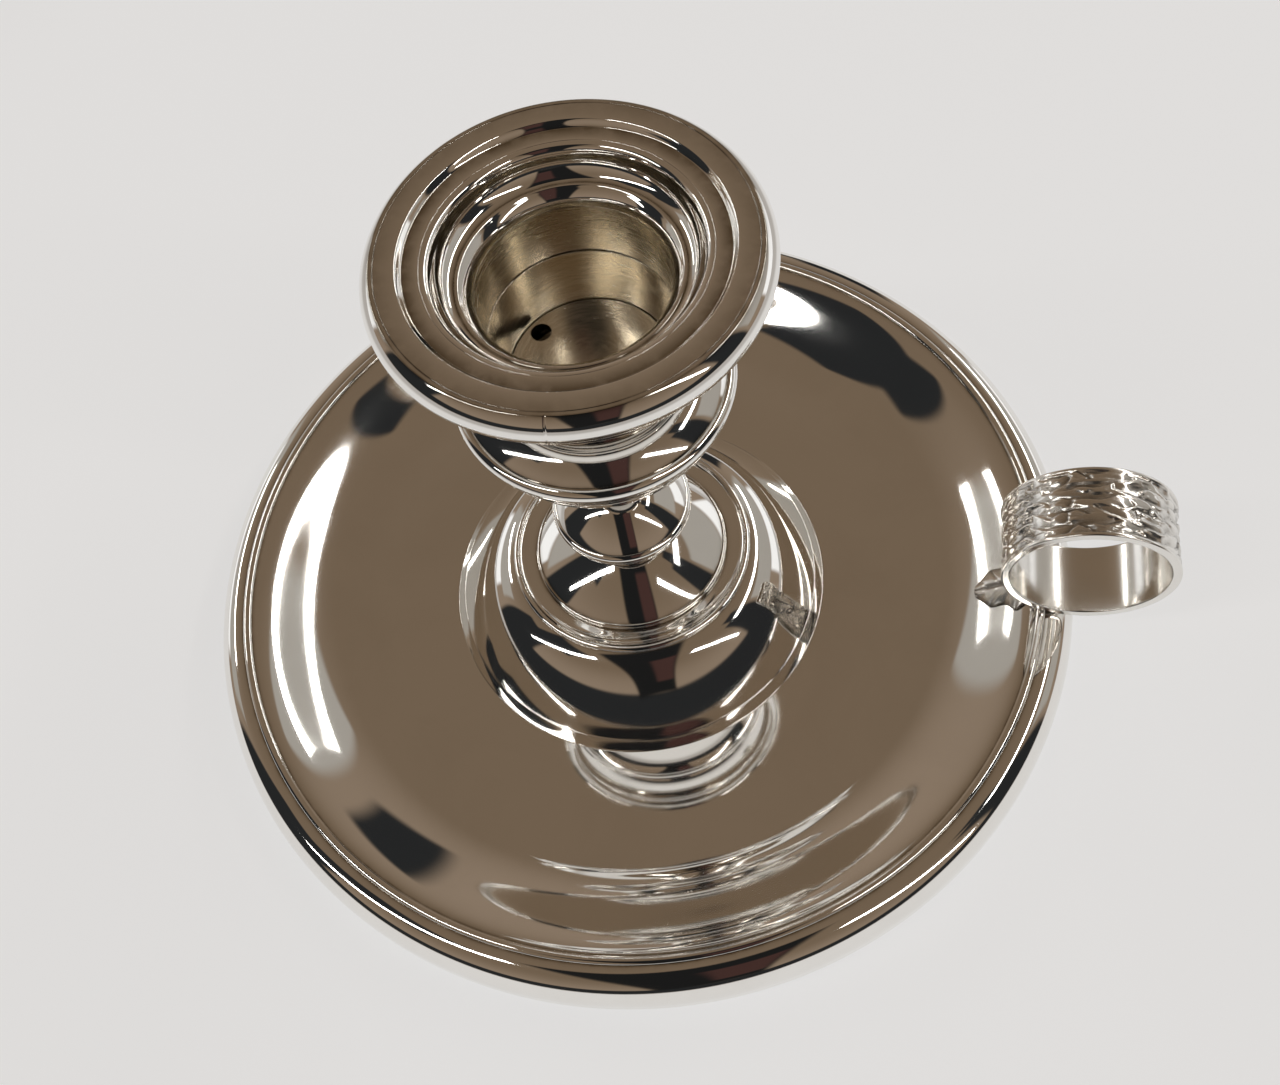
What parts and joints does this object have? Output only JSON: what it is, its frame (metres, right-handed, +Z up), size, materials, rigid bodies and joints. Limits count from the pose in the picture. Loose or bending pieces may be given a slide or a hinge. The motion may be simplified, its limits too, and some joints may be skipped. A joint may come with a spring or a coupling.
{
  "type": "candle holder",
  "caption": "Low chamber candlestick: round drip dish, turned hollow stem, bell-shaped socket with a lift-off nozzle, and a chased finger ring standing on the rim.",
  "frame": {"origin": "centre of the flat underside of the dish, on the stem axis", "axes": "+Z up along the stem, +X towards the finger ring"},
  "size_m": [0.1397, 0.128, 0.0807],
  "materials": {
    "polished_silver": "mirror-polished silver",
    "turned_silver": "satin, with lathe marks",
    "chased_silver": "polished, chased like bark"
  },
  "bodies": {
    "holder": {"dish": "polished_silver", "rim_wire": "polished_silver", "foot_dome": "polished_silver", "foot_ring": "polished_silver", "dome_fillet": "polished_silver", "upper_dome": "polished_silver", "knop_collar": "polished_silver", "knop_fillet": "polished_silver", "knop_rim": "polished_silver", "knop": "polished_silver", "stem_neck": "polished_silver", "socket_base": "polished_silver", "socket_fillet": "polished_silver", "socket_rim": "polished_silver", "socket_bulge": "polished_silver", "socket_flare": "polished_silver", "socket_lip": "polished_silver", "candle_tube": "turned_silver", "tube_floor": "turned_silver", "handle_ring": "chased_silver", "handle_leaf": "chased_silver", "handle_saddle": "chased_silver"},
    "nozzle": {"nozzle_band": "polished_silver", "nozzle_flange": "polished_silver", "nozzle_throat": "polished_silver", "nozzle_sleeve": "turned_silver"}
  },
  "joints": [
    {"name": "nozzle_lift", "type": "slide", "parent": "holder", "child": "nozzle", "axis": [0, 0, 1], "range_m": [0, 0.02]}
  ]
}
